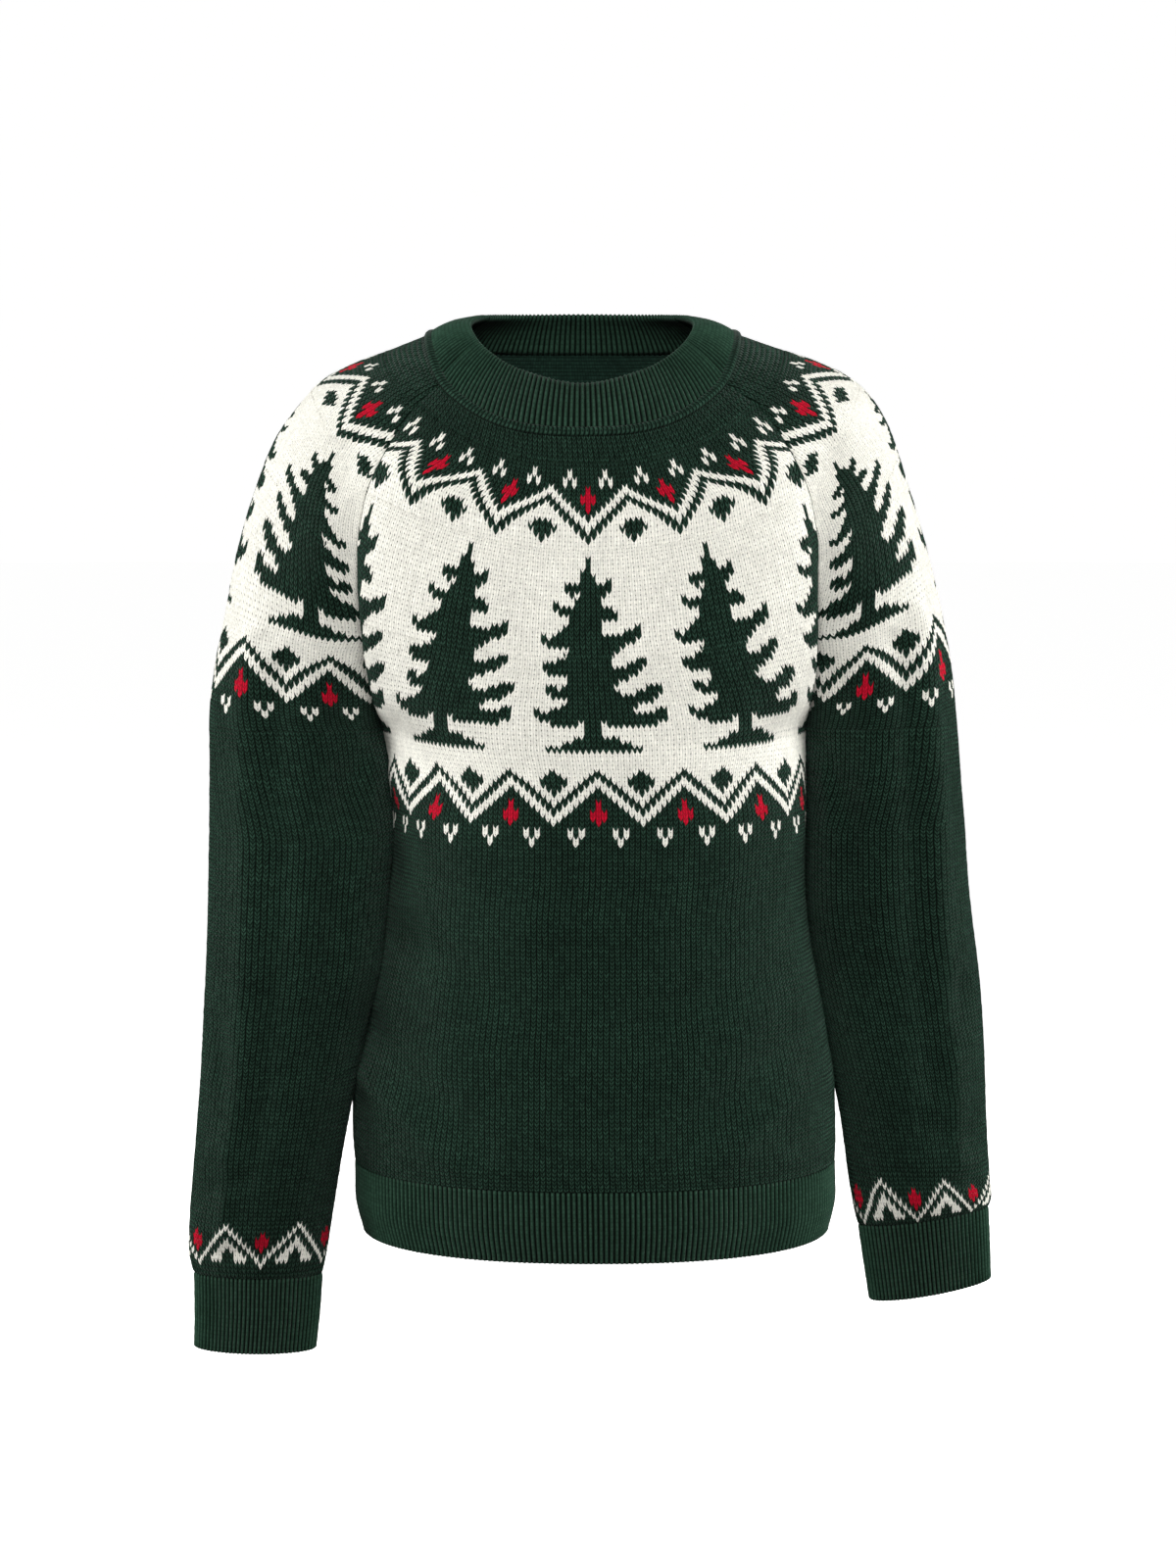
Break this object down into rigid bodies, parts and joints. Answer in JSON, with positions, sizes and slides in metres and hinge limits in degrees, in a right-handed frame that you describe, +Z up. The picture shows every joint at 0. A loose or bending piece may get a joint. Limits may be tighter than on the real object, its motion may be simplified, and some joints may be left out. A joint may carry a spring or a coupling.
{
  "type": "christmas sweater",
  "caption": "Long-sleeved raglan pullover in knitted cloth, filled out as worn, with a fir tree pattern round the yoke and ribbed neckband, cuffs and hem.",
  "frame": {"origin": "the middle of the neck opening, on the mount shoulders, level with the middle of the neckband's free edge", "axes": "+Z up along the wearer, +X to the wearer's left, +Y to the back; the front faces -Y"},
  "size_m": [0.5624, 0.2388, 0.7153],
  "materials": {
    "knit_body": "plain knit in forest green yarn, cream fir trees' ground, red diamonds",
    "knit_sleeve": "plain knit in forest green yarn, with the yoke's pattern and a cream zigzag over the cuff",
    "rib_neck": "one by one rib in forest green yarn",
    "rib_hem": "one by one rib in forest green yarn",
    "rib_cuff": "one by one rib in forest green yarn"
  },
  "bodies": {
    "root": {"front": "knit_body", "back": "knit_body", "right_sleeve": "knit_sleeve", "left_sleeve": "knit_sleeve", "neckband": "rib_neck", "front_hem_rib": "rib_hem", "back_hem_rib": "rib_hem", "right_cuff": "rib_cuff", "left_cuff": "rib_cuff"}
  },
  "joints": []
}
